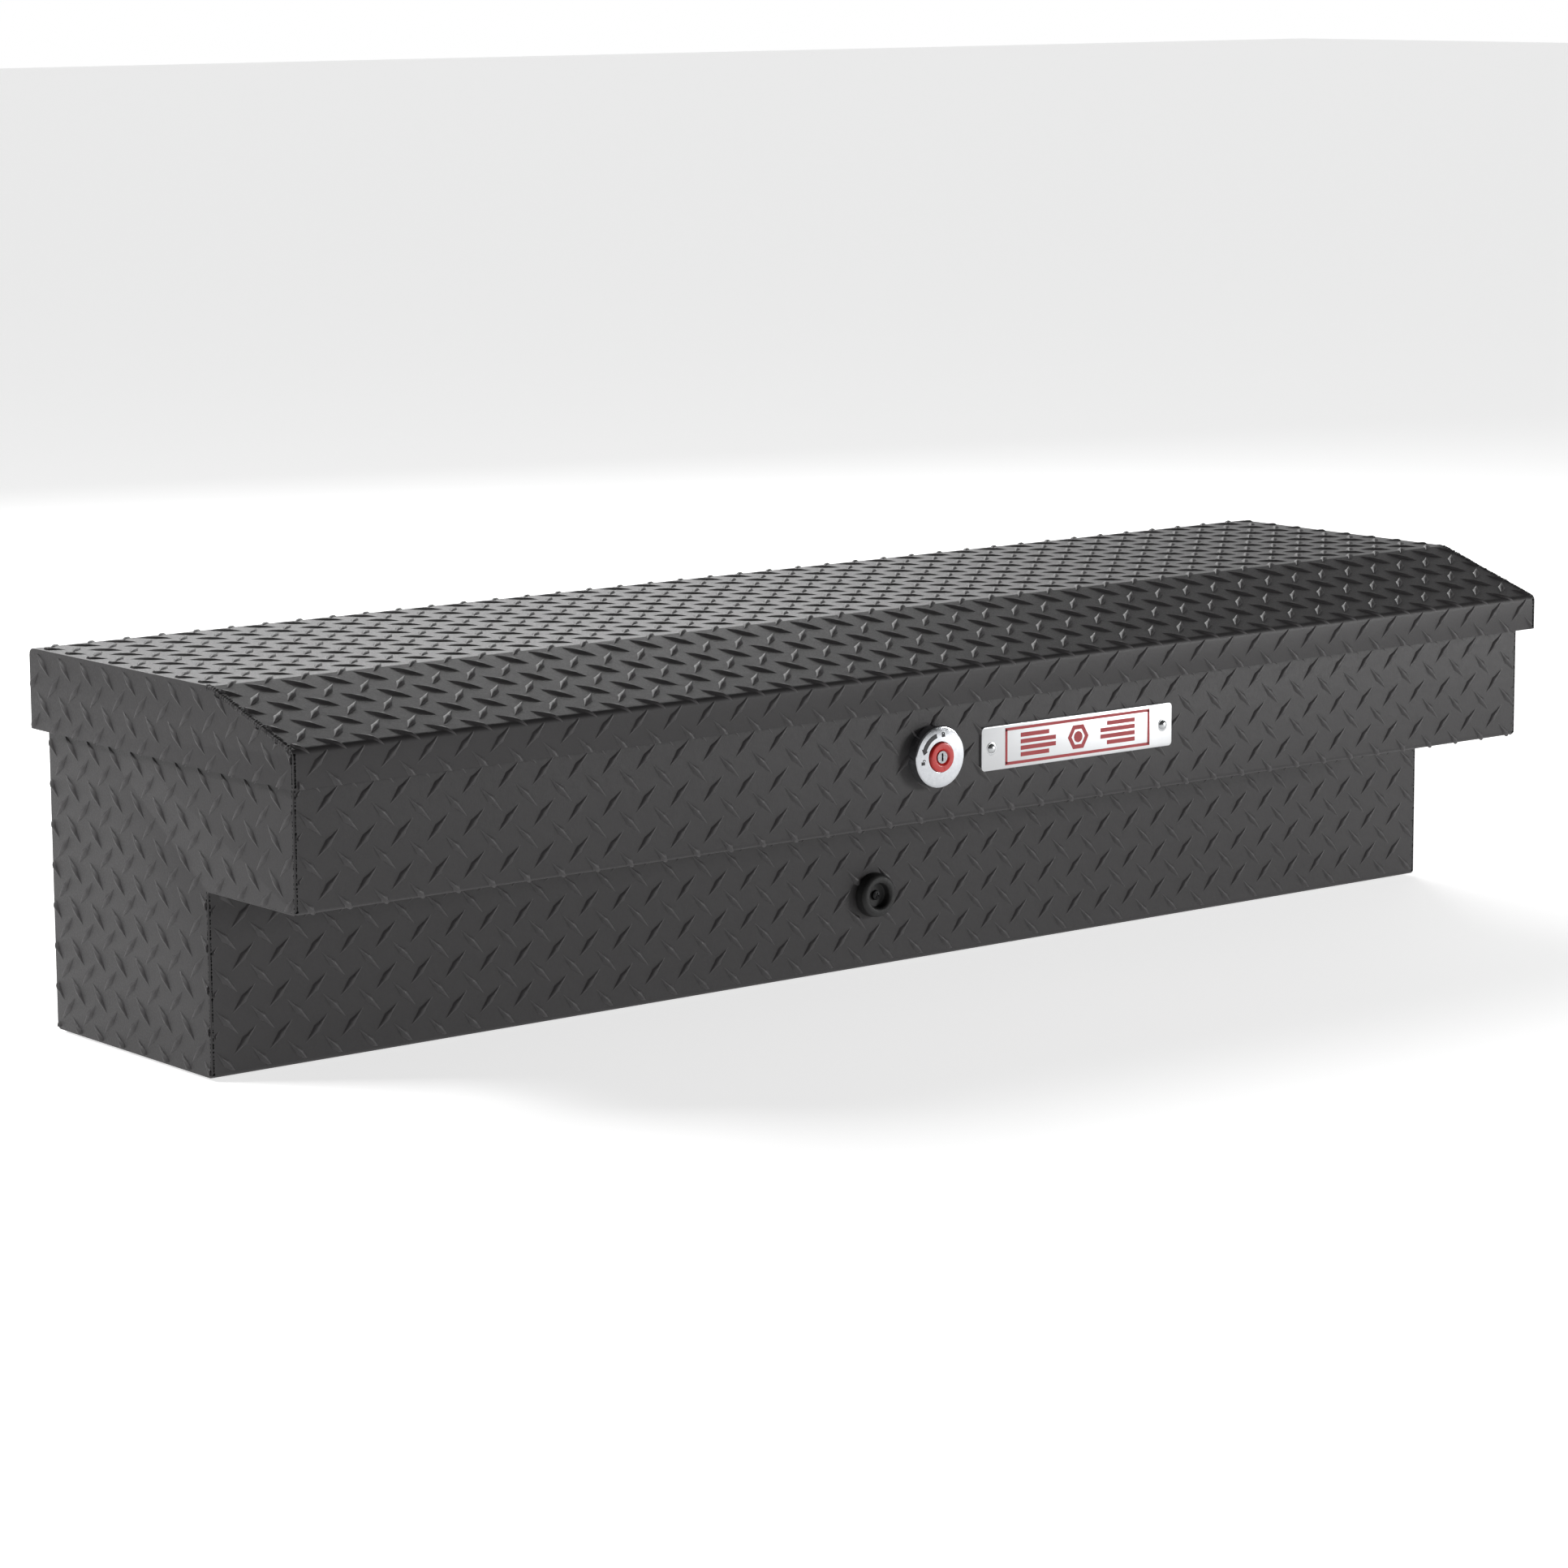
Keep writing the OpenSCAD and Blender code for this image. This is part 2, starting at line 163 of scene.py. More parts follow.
def startMaterial(name, values):
    material = bpy.data.materials.new(name)
    material.use_nodes = True
    tree = material.node_tree
    tree.nodes.clear()
    shader = addNode(tree, "ShaderNodeBsdfPrincipled", values)
    addNode(tree, "ShaderNodeOutputMaterial", links={"Surface": shader.outputs["BSDF"]})
    place = addNode(tree, "ShaderNodeTexCoord").outputs["Object"]
    return material, tree, shader, place


def perMetre(sizeMm):
    return 1000 / sizeMm


def addNoise(tree, place, sizeMm, detail=3.0, stretch=None):
    if stretch:
        place = addNode(tree, "ShaderNodeMapping", {"Scale": stretch}, {"Vector": place}).outputs["Vector"]
    noise = addNode(tree, "ShaderNodeTexNoise", {"Scale": perMetre(sizeMm), "Detail": detail},
                    {"Vector": place})
    return noise.outputs["Fac"]


def addRange(tree, source, low, high, fromLow=0.3, fromHigh=0.7):
    return addNode(tree, "ShaderNodeMapRange", {"From Min": fromLow, "From Max": fromHigh, "To Min": low,
                   "To Max": high}, {"Value": source}).outputs["Result"]


def addColours(tree, source, dark, light):
    node = tree.nodes.new("ShaderNodeMix")
    node.data_type = "RGBA"
    node.inputs[6].default_value = hexColour(dark)
    node.inputs[7].default_value = hexColour(light)
    tree.links.new(source, node.inputs[0])
    return node.outputs[2]


def addBump(tree, height, depthMm, strength=1.0, under=None):
    links = {"Height": height}
    if under:
        links["Normal"] = under
    return addNode(tree, "ShaderNodeBump", {"Strength": strength, "Distance": depthMm * mm},
                   links).outputs["Normal"]


coatLook = {
    "dark": "#252324", "light": "#312f30", "ridge": "#474546", "ior": 1.5,
    "grainMm": 1.6, "mottleMm": 70, "peelMm": 7, "roughLow": 0.46, "roughHigh": 0.6,
}


def powderCoat(name, look, paintedRidgeHighlight=False):
    # textured polyester powder on aluminium: fine sandy grain that scatters light into a soft sheen;
    # the grain is drawn coarser than on real powder, so that it shows
    material, tree, shader, place = startMaterial(name, {"IOR": look["ior"]})
    grain = addNoise(tree, place, look["grainMm"], 4)
    mottle = addNoise(tree, place, look["mottleMm"], 3)
    peel = addNoise(tree, place, look["peelMm"], 2)
    blend = addNode(tree, "ShaderNodeMath", {1: 0.35}, {0: grain}, operation="MULTIPLY_ADD")
    tree.links.new(addRange(tree, mottle, 0.15, 0.4), blend.inputs[2])
    colour = addColours(tree, blend.outputs[0], look["dark"], look["light"])
    if paintedRidgeHighlight:  # painted highlight, with a little rub wear: the tops of the lugs are made lighter, standing for the light they catch
        geometry = addNode(tree, "ShaderNodeNewGeometry")
        ridgeHighlight = addRange(tree, geometry.outputs["Pointiness"], 0.0, 0.8, 0.5, 0.62)
        mix = tree.nodes.new("ShaderNodeMix")
        mix.data_type = "RGBA"
        mix.inputs[7].default_value = hexColour(look["ridge"])
        tree.links.new(ridgeHighlight, mix.inputs[0])
        tree.links.new(colour, mix.inputs[6])
        colour = mix.outputs[2]
    tree.links.new(colour, shader.inputs["Base Color"])
    tree.links.new(addRange(tree, grain, look["roughLow"], look["roughHigh"]), shader.inputs["Roughness"])
    bump = addBump(tree, peel, 0.25, 0.5)
    tree.links.new(addBump(tree, grain, 0.12, 0.6, bump), shader.inputs["Normal"])
    return material


def metal(name, dark, light, roughLow, roughHigh, sizeMm, stretch=None, bumpMm=0.02):
    # bare or plated metal: the noise gives either brushed lines (stretched) or a cloudy plated surface
    material, tree, shader, place = startMaterial(name, {"Metallic": 1.0})
    grain = addNoise(tree, place, sizeMm, 4, stretch)
    tree.links.new(addColours(tree, grain, dark, light), shader.inputs["Base Color"])
    tree.links.new(addRange(tree, grain, roughLow, roughHigh), shader.inputs["Roughness"])
    tree.links.new(addBump(tree, grain, bumpMm, 0.5), shader.inputs["Normal"])
    return material


def moulded(name, dark, light, roughLow, roughHigh, sizeMm, bumpMm, coat=0.0):
    # moulded plastic or rubber: faint mottling and a fine mould texture
    material, tree, shader, place = startMaterial(name, {"IOR": 1.5, "Coat Weight": coat,
                                                         "Coat Roughness": 0.1})
    grain = addNoise(tree, place, sizeMm, 3)
    tree.links.new(addColours(tree, grain, dark, light), shader.inputs["Base Color"])
    tree.links.new(addRange(tree, grain, roughLow, roughHigh), shader.inputs["Roughness"])
    tree.links.new(addBump(tree, grain, bumpMm, 0.5), shader.inputs["Normal"])
    return material


sheetCoat = powderCoat("texturedPowderCoat", coatLook)
# the coat for the lugs carries a painted highlight on the lug tops
lugCoat = powderCoat("powderCoatOnLugs", coatLook, paintedRidgeHighlight=True)
# painted shadow: a near-black, rough, weakly reflecting coat for the beads laid in the seam grooves,
# standing for the shade in those grooves
seamShadowCoat = powderCoat("paintedSeamShadow", {
    **coatLook, "dark": "#040404", "light": "#0a0a0a", "ior": 1.18, "roughLow": 0.8, "roughHigh": 0.95})
satinChrome = metal("satinChromedZinc", "#b9bcc0", "#d4d6d9", 0.1, 0.18, 3)
nickelKey = metal("nickelKeyPlug", "#8f9193", "#a9abad", 0.22, 0.34, 2)
plateAluminium = metal("brushedAnodisedAluminium", "#bcbdbf", "#cdcecf", 0.3, 0.42, 1.2, (1, 30, 30))
rivetAluminium = metal("aluminiumRivet", "#b4b6b8", "#cfd1d2", 0.2, 0.3, 2)
blackScrew = metal("blackPhosphatedScrew", "#2b2b2c", "#3a3a3b", 0.42, 0.58, 2)
zincSteel = metal("zincPlatedSteel", "#8f9291", "#b4b6b4", 0.28, 0.44, 5)
stainless = metal("brushedStainlessHinge", "#8c8d8e", "#a8a9aa", 0.25, 0.42, 1.5, (1, 40, 40))
chromedRod = metal("hardChromedRod", "#cfd0d1", "#dededf", 0.06, 0.12, 8, bumpMm=0.002)
redPlastic = moulded("glossRedAcetal", "#c21a17", "#d3241d", 0.26, 0.36, 4, 0.02, 0.4)
redInk = moulded("screenPrintedRed", "#a3262c", "#b02d33", 0.4, 0.5, 2, 0.01)
blackInk = moulded("screenPrintedBlack", "#17171a", "#202024", 0.4, 0.5, 2, 0.01)
blackRubber = moulded("mouldedBlackRubber", "#131313", "#1e1e1e", 0.5, 0.68, 1.5, 0.06)
spongeRubber = moulded("closedCellSpongeSeal", "#101010", "#1b1b1b", 0.75, 0.9, 1.2, 0.15)
strutPaint = moulded("satinBlackStrutPaint", "#0e0e0f", "#161617", 0.25, 0.35, 6, 0.01, 0.3)
blackNylon = moulded("mouldedNylonGuide", "#161616", "#202020", 0.45, 0.6, 2, 0.04)
print("materials made")


# ---- camera, floor and light

viewpoint = {
    "place": Vector((-2.79275, -3.45556, 0.92593)), "forward": Vector((0.61221, 0.77234, -0.16941)),
    "up": Vector((0.10967, 0.12925, 0.98553)), "lens": 112.58, "sensor": 36,
}
studio = {
    "floorDrop": 2.3 * mm, "floorSize": 60, "white": "#f7f7f7",
    # the backdrop is white behind the box near the horizon, dimmer overhead and on the camera's side
    "backdropSide": (0.62, 0.78, -0.6), "backdropLight": 1.0, "roomLight": 0.08, "floorGlow": 0.68,
    # name, place, aimed at, width, height, power
    "lamps": [
        ("softboxBehind", (1.1, 2.9, 2.0), (0.3, 0, 0.25), 3.0, 1.0, 68),
        ("softboxLeft", (-2.8, 2.0, 2.1), (-0.7, 0, 0.15), 1.1, 0.8, 76),
        ("softboxRight", (3.4, -3.0, 0.8), (0.1, 0, 0.15), 1.2, 0.7, 75),
    ],
}


def lookAt(obj, place, target):
    obj.location = place
    obj.rotation_euler = (Vector(target) - Vector(place)).to_track_quat("-Z", "Y").to_euler()


def buildStage():
    camera = bpy.data.objects.new("camera", bpy.data.cameras.new("camera"))
    bpy.context.scene.collection.objects.link(camera)
    right = viewpoint["forward"].cross(viewpoint["up"]).normalized()
    up = right.cross(viewpoint["forward"]).normalized()
    turn = Matrix((right, up, -viewpoint["forward"].normalized())).transposed()
    camera.matrix_world = Matrix.Translation(viewpoint["place"]) @ turn.to_4x4()
    camera.data.lens = viewpoint["lens"]
    camera.data.sensor_width = viewpoint["sensor"]
    bpy.context.scene.camera = camera
    deselectAll()
    bpy.ops.mesh.primitive_plane_add(size=studio["floorSize"],
                                     location=(0, 0, cadBox[0].z - studio["floorDrop"]))
    floor = bpy.context.active_object
    floor.name = "paleFloor"
    material, tree, shader, place = startMaterial(
        "paleFloorPaint", {"Roughness": 0.7, "Emission Strength": studio["floorGlow"],
                           "Emission Color": hexColour("#ffffff")})
    tree.links.new(addColours(tree, addNoise(tree, place, 400), "#f2f2f2", studio["white"]),
                   shader.inputs["Base Color"])
    floor.data.materials.append(material)
    bpy.context.scene.view_settings.view_transform = "Standard"
    world = bpy.data.worlds.new("paleStudio")
    bpy.context.scene.world = world
    world.use_nodes = True
    tree, background = world.node_tree, world.node_tree.nodes["Background"]
    background.inputs["Color"].default_value = hexColour("#ffffff")
    direction = addNode(tree, "ShaderNodeTexCoord").outputs["Generated"]
    facing = addNode(tree, "ShaderNodeVectorMath", {1: studio["backdropSide"]}, {0: direction},
                     operation="DOT_PRODUCT").outputs["Value"]
    level = addNode(tree, "ShaderNodeMapRange",
                    {"From Min": 0.5, "From Max": 0.8, "To Min": studio["roomLight"],
                     "To Max": studio["backdropLight"]}, {"Value": facing}, interpolation_type="SMOOTHSTEP")
    tree.links.new(level.outputs["Result"], background.inputs["Strength"])
    for name, place, target, width, height, power in studio["lamps"]:
        light = bpy.data.lights.new(name, "AREA")
        light.shape = "RECTANGLE"
        light.size = width
        light.size_y = height
        light.energy = power
        lamp = bpy.data.objects.new(name, light)
        bpy.context.scene.collection.objects.link(lamp)
        lookAt(lamp, place, target)


buildStage()
print("stage built")


# ---- folded sheets: copies of the CAD sheets with rolled edges

sheetMm = {
    "tubBend": 4.5, "lidBend": 6, "lidEdge": 3.4, "flangeLip": 0.25, "panelEdge": 0.9, "steps": 4,
    "flange": 32, "slopeDepth": 121.5, "slopeRise": 38,
}


def softenedCopy(node, name, edgeWeight, width, steps):
    # edgeWeight gives each edge its share of the bevel width, from 0 to 1
    source = frame["nodes"][node]
    mesh = source.data.copy()
    obj = bpy.data.objects.new(name, mesh)
    bpy.context.scene.collection.objects.link(obj)
    editMesh(obj)
    bpy.ops.mesh.remove_doubles(threshold=0.01 * mm)
    bpy.ops.mesh.dissolve_limited(angle_limit=math.radians(0.4))
    bpy.ops.mesh.normals_make_consistent(inside=False)
    leaveEdit()
    if width:
        weights = mesh.attributes.new("bevel_weight_edge", "FLOAT", "EDGE")
        for edge in mesh.edges:
            a, b = (mesh.vertices[i].co for i in edge.vertices)
            weights.data[edge.index].value = float(edgeWeight(a, b))
        applyModifier(obj, "BEVEL", limit_method="WEIGHT", width=width * mm, segments=steps,
                      use_clamp_overlap=True, harden_normals=False)
    smoothBelow(obj, 35)
    return obj


def buildSheets():
    lidLow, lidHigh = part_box("lid_skin")
    near = 0.05 * mm

    def lidEnd(a, b):
        atEnd = all(abs(abs(p.x) - lidHigh.x) < near for p in (a, b))
        atLip = all(abs(p.z - lidLow.z) < near and abs(p.y - lidLow.y) < near for p in (a, b))
        if atLip and abs(a.x - b.x) > mm:
            return sheetMm["flangeLip"]
        return atEnd and max(a.z, b.z) > lidLow.z + mm

    lid = softenedCopy("lid_skin", "lidSheet", lidEnd, sheetMm["lidEdge"], sheetMm["steps"])
    finishPiece(lid, sheetCoat, "lid", ["lid_skin"])
    wrapper = softenedCopy("tub_wrapper", "tubSheet", None, 0, 0)
    finishPiece(wrapper, sheetCoat, "tub", ["tub_wrapper"])
    for side in ("left", "right"):
        low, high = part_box(f"end_panel_{side}")
        outer = high.x if side == "right" else low.x

        def panelEdge(a, b):
            atEnd = all(abs(p.x - outer) < near for p in (a, b))
            return atEnd and min(a.z, b.z) < high.z - 40 * mm

        panel = softenedCopy(f"end_panel_{side}", f"endPanel{side.title()}", panelEdge,
                             sheetMm["panelEdge"], 3)
        finishPiece(panel, sheetCoat, "tub", [f"end_panel_{side}"])


buildSheets()
print("sheets made")


# ---- tread lugs, pressed out of the sheet and bent round its folds with it

lugMm = {
    "pitch": 35.49, "length": 35, "width": 8, "height": 1.9, "sunk": 0.25,
    "stations": [-1, -0.62, -0.3, 0, 0.3, 0.62, 1], "breadths": [0, 0.3, 0.58, 1, 0.58, 0.3, 0],
    "heights": [0, 0.55, 0.9, 1, 0.9, 0.55, 0], "across": [-1, -0.5, 0, 0.5, 1],
    "shoulders": [0, 0.8, 1, 0.8, 0],
}


def modelLug():
    # one lug along X: a grid drawn in to a pointed lens with a ridge, closed underneath
    columns, rows = len(lugMm["stations"]), len(lugMm["across"])
    deselectAll()
    bpy.ops.mesh.primitive_grid_add(x_subdivisions=columns - 1, y_subdivisions=rows - 1, size=2)
    lug = bpy.context.active_object
    for vertex in lug.data.vertices:
        i = round((vertex.co.x + 1) / 2 * (columns - 1))
        j = round((vertex.co.y + 1) / 2 * (rows - 1))
        lift = lugMm["heights"][i] * lugMm["shoulders"][j] * (lugMm["height"] + lugMm["sunk"])
        vertex.co = (lugMm["stations"][i] * lugMm["length"] / 2 * mm,
                     lugMm["across"][j] * lugMm["breadths"][i] * lugMm["width"] / 2 * mm,
                     (lift - lugMm["sunk"]) * mm)
    editMesh(lug)
    bpy.ops.mesh.remove_doubles(threshold=0.01 * mm)
    bpy.ops.mesh.select_all(action="DESELECT")
    bpy.ops.mesh.select_mode(type="EDGE")
    bpy.ops.mesh.select_non_manifold()
    bpy.ops.mesh.edge_face_add()
    bpy.ops.mesh.select_all(action="SELECT")
    bpy.ops.mesh.normals_make_consistent(inside=False)
    leaveEdit()
    points = np.array([v.co for v in lug.data.vertices])
    faces = [tuple(p.vertices) for p in lug.data.polygons]
    bpy.data.objects.remove(lug)
    return points, faces


lugPoints, lugFaces = modelLug()


def foldedLine(corners, radius):
    # points, in Y and Z, along straight runs joined by round bends; returns points and lengths
    points = [Vector(corners[0])]
    for before, corner, after in zip(corners, corners[1:], corners[2:]):
        here = Vector(corner)
        u, v = (here - Vector(before)).normalized(), (Vector(after) - here).normalized()
        turn = u.angle_signed(v)
        inset = radius * math.tan(abs(turn) / 2)
        side = 1 if turn > 0 else -1  # angle_signed counts clockwise turns as positive
        centre = here - u * inset + Vector((u.y, -u.x)) * side * radius
        arm = (here - u * inset) - centre
        for i in range(9):
            angle = -turn * i / 8
            cosine, sine = math.cos(angle), math.sin(angle)
            points.append(centre + Vector((arm.x * cosine - arm.y * sine, arm.x * sine + arm.y * cosine)))
    points.append(Vector(corners[-1]))
    points = np.array([tuple(p) for p in points])
    lengths = np.r_[0, np.cumsum(np.linalg.norm(np.diff(points, axis=0), axis=1))]
    return points, lengths


def cutAway(mesh, planes):
    # trims the mesh to the inner side of each plane (a point, a direction) and closes the cuts
    work = bmesh.new()
    work.from_mesh(mesh)
    for place, normal in planes:
        everything = work.verts[:] + work.edges[:] + work.faces[:]
        cut = bmesh.ops.bisect_plane(work, geom=everything, plane_co=place, plane_no=normal,
                                     dist=0.001 * mm, clear_outer=True)
        rim = [e for e in cut["geom_cut"] if isinstance(e, bmesh.types.BMEdge)]
        bmesh.ops.edgeloop_fill(work, edges=rim)
    work.to_mesh(mesh)
    work.free()


def lugField(name, body, spread, line, outward, phase, slopeSign):
    # spread is the range along X; line is the sheet's outer profile; phase places one '/' lug
    (x0, x1), (points, lengths) = spread, line
    pitch, total = lugMm["pitch"] * mm, lengths[-1]
    margin = lugMm["length"] / 2 * mm
    places = []
    for half, sign in ((0.0, slopeSign), (0.5, -slopeSign)):
        for i in range(math.floor((x0 - margin - phase[0]) / pitch - half),
                       math.ceil((x1 + margin - phase[0]) / pitch - half) + 1):
            for k in range(math.floor((-margin - phase[1]) / pitch - half),
                           math.ceil((total + margin - phase[1]) / pitch - half) + 1):
                places.append((phase[0] + (i + half) * pitch, phase[1] + (k + half) * pitch, sign))
    turn = math.sqrt(0.5)
    allPoints, allFaces = [], []
    for n, (x, s, sign) in enumerate(places):
        flat = np.c_[x + turn * (lugPoints[:, 0] - sign * lugPoints[:, 1]),
                     s + turn * (sign * lugPoints[:, 0] + lugPoints[:, 1]), lugPoints[:, 2]]
        allPoints.append(flat)
        allFaces += [tuple(v + n * len(lugPoints) for v in face) for face in lugFaces]
    obj = meshPiece(name, np.concatenate(allPoints), allFaces)
    cutAway(obj.data, [((x0, 0, 0), (-1, 0, 0)), ((x1, 0, 0), (1, 0, 0)), ((0, 0, 0), (0, -1, 0)),
                       ((0, total, 0), (0, 1, 0))])
    flat = np.empty(len(obj.data.vertices) * 3)
    obj.data.vertices.foreach_get("co", flat)
    flat = flat.reshape(-1, 3)
    index = np.clip(np.searchsorted(lengths, flat[:, 1], side="right") - 1, 0, len(lengths) - 2)
    step = points[index + 1] - points[index]
    along = (flat[:, 1] - lengths[index]) / (lengths[index + 1] - lengths[index])
    on = points[index] + step * along[:, None]
    direction = step / np.linalg.norm(step, axis=1)[:, None]
    normal = outward * np.c_[-direction[:, 1], direction[:, 0]]
    solid = np.c_[flat[:, 0], on[:, 0] + normal[:, 0] * flat[:, 2], on[:, 1] + normal[:, 1] * flat[:, 2]]
    obj.data.vertices.foreach_set("co", solid.ravel())
    editMesh(obj)
    bpy.ops.mesh.normals_make_consistent(inside=False)
    leaveEdit()
    smoothBelow(obj, 50)
    return finishPiece(obj, lugCoat, body)


def endLugs(name, body, x, outline, bandRows, phase):
    # lugs on a flat end at plane x; each part of outline is its own list of half planes in Y and Z
    side = 1 if x > 0 else -1
    pitch, margin = lugMm["pitch"] * mm, lugMm["length"] / 2 * mm
    (y0, y1), (z0, z1) = bandRows
    turn = math.sqrt(0.5)
    allPoints, allFaces, count = [], [], 0
    for half, sign in ((0.0, side), (0.5, -side)):
        for i in range(math.floor((y0 - margin - phase[0]) / pitch - half),
                       math.ceil((y1 + margin - phase[0]) / pitch - half) + 1):
            for k in range(math.floor((z0 - margin - phase[1]) / pitch - half),
                           math.ceil((z1 + margin - phase[1]) / pitch - half) + 1):
                y, z = phase[0] + (i + half) * pitch, phase[1] + (k + half) * pitch
                along, across, height = lugPoints.T
                allPoints.append(np.c_[x + side * height, y + turn * (along - sign * across),
                                       z + turn * (sign * along + across)])
                allFaces += [tuple(v + count * len(lugPoints) for v in face) for face in lugFaces]
                count += 1
    pieces = []
    for part, planes in enumerate(outline):
        obj = meshPiece(f"{name}{part}", np.concatenate(allPoints), allFaces)
        cutAway(obj.data, [((0, *place), (0, *normal)) for place, normal in planes])
        pieces.append(obj)
    obj = joinPieces(pieces, name)
    editMesh(obj)
    bpy.ops.mesh.normals_make_consistent(inside=False)
    leaveEdit()
    smoothBelow(obj, 50)
    return finishPiece(obj, lugCoat, body)


lattice = {
    "frontX": -672.9, "upperZ": 214.0, "lowerZ": 99.6, "endY": -3.6, "endZ": 198.5,
    "lidEndY": 95.9, "lidEndZ": 303.5, "lidFrontZ": 283.5, "edgeKeep": 1.6, "underKeep": 12,
    "endKeep": 2.5, "foldKeep": 4, "footKeep": 0.5,
}


def buildLugs():
    tubLow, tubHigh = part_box("tub_wrapper")
    lidLow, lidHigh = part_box("lid_skin")
    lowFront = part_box("bumper")[1].y
    shelf = mounts["shelf_face"].z
    keep = lattice["edgeKeep"] * mm
    bend = sheetMm["tubBend"] * mm
    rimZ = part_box("striker_left")[0].z + mm  # just above the foot of the striker bars
    rim = (tubLow.y, rimZ)
    middle = ((tubLow.y + lowFront) / 2, shelf)
    halfX = tubHigh.x - keep
    upper = foldedLine([rim, (tubLow.y, shelf), middle], bend)
    lugField("tubLugsUpper", "tub", (-halfX, halfX), upper, -1,
             (lattice["frontX"] * mm, rimZ - lattice["upperZ"] * mm), -1)
    foot, away = bend + lattice["footKeep"] * mm, lattice["underKeep"] * mm
    lower = foldedLine([middle, (lowFront, shelf), (lowFront, foot)], bend)
    lugField("tubLugsLower", "tub", (-halfX, halfX), lower, -1,
             (lattice["frontX"] * mm, lower[1][-1] - lattice["lowerZ"] * mm + foot), -1)
    under = foldedLine([(lowFront + away, 0), (tubHigh.y - away, 0)], bend)
    lugField("tubLugsUnder", "tub", (-halfX, halfX), under, -1, (lattice["frontX"] * mm, 0), -1)
    rear = foldedLine([(tubHigh.y, foot), (tubHigh.y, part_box("hinge_leaf_tub")[0].z - mm)], bend)
    lugField("tubLugsRear", "tub", (-halfX, halfX), rear, -1, (lattice["frontX"] * mm, 0), -1)
    slopeY = lidLow.y + sheetMm["slopeDepth"] * mm
    fold = (lidLow.y, lidLow.z + sheetMm["flange"] * mm)
    lidLine = foldedLine([(lidLow.y, lidLow.z), fold, (slopeY, lidHigh.z),
                          (lidHigh.y, lidHigh.z), (lidHigh.y, lidLow.z)], sheetMm["lidBend"] * mm)
    lidHalf = lidHigh.x - 5 * mm
    lugField("lidLugs", "lid", (-lidHalf, lidHalf), lidLine, 1,
             ((lattice["frontX"] + lugMm["pitch"] / 2) * mm, lattice["lidFrontZ"] * mm - lidLow.z), 1)
    slope = Vector((sheetMm["slopeDepth"], sheetMm["slopeRise"])).normalized()
    edge, foldKeep = lattice["endKeep"] * mm, lattice["foldKeep"] * mm
    for side, sign in (("Left", -1), ("Right", 1)):
        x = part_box(f"end_panel_{side.lower()}")[1 if sign > 0 else 0].x
        box = [((tubLow.y + edge, 0), (-1, 0)), ((tubHigh.y - edge, 0), (1, 0)), ((0, edge), (0, -1)),
               ((0, rimZ - mm), (0, 1))]
        top = box + [((0, shelf + edge), (0, -1))]
        bottom = box + [((0, shelf + edge), (0, 1)), ((lowFront + edge, 0), (-1, 0))]
        endLugs(f"endLugs{side}", "tub", x, [top, bottom], ((tubLow.y, tubHigh.y), (0, rimZ)),
                (lattice["endY"] * mm, lattice["endZ"] * mm))
        planes = [((lidLow.y + edge, 0), (-1, 0)), ((lidHigh.y - edge, 0), (1, 0)),
                  ((0, lidLow.z), (0, -1)), ((0, lidHigh.z - foldKeep), (0, 1)),
                  ((fold[0], fold[1] - foldKeep), (-slope.y, slope.x))]
        endLugs(f"lidEndLugs{side}", "lid", sign * lidHigh.x, [planes],
                ((lidLow.y, lidHigh.y), (lidLow.z, lidHigh.z)),
                (lattice["lidEndY"] * mm, lattice["lidEndZ"] * mm))


buildLugs()
print("lugs pressed")


# ---- beads where the end panels meet the wrapped sheets: near-black beads paint the shadow in the seam grooves, and a coated weld bead runs along each lid slope

seamMm = {"inset": 1.9, "dip": 1.8, "front": 2.3, "shelf": 2.1, "hidden": 1.6, "lidCorner": 2.4,
          "frontTop": 281, "rearTop": 300, "bottomDip": 1.5, "bottomInset": 3}
beadMm = {"ripple": 3.2, "swell": 0.35, "seamSwell": 0.08, "sides": 8, "seed": 7}


def scallopedBead(name, line, radius, body, material, swell=beadMm["seamSwell"]):
    # a run of overlapping scallops: the radius swells and dips along the line, never quite evenly
    randomly = random.Random(beadMm["seed"])
    corners = [Vector(p) for p in line]
    stations = []
    for a, b in zip(corners, corners[1:]):
        count = max(2, round((b - a).length / (beadMm["ripple"] * mm / 4)))
        stations += [a.lerp(b, i / count) for i in range(count)]
    stations.append(corners[-1])
    points, faces, sides = [], [], beadMm["sides"]
    for n, here in enumerate(stations):
        ahead = stations[min(n + 1, len(stations) - 1)] - stations[max(n - 1, 0)]
        turn = ahead.to_track_quat("Z", "Y").to_matrix()
        ripple = (abs(math.sin(n * math.pi / 4)) + randomly.uniform(-0.45, 0.45)) * swell
        size = radius * mm * (0.82 + ripple)
        drift = Vector((randomly.uniform(-0.14, 0.14) * mm for _ in range(3)))
        if n in (0, len(stations) - 1):
            size *= 0.3
        for k in range(sides):
            angle = 2 * math.pi * k / sides
            points.append(here + drift + turn @ Vector((math.cos(angle) * size, math.sin(angle) * size, 0)))
        if n:
            first = (n - 1) * sides
            faces += [(first + k, first + (k + 1) % sides, first + sides + (k + 1) % sides,
                       first + sides + k) for k in range(sides)]
    faces.append(tuple(range(sides))[::-1])
    faces.append(tuple(range(len(points) - sides, len(points))))
    obj = meshPiece(name, points, faces)
    cleanNormals(obj)
    smoothBelow(obj, 60)
    return finishPiece(obj, material, body)


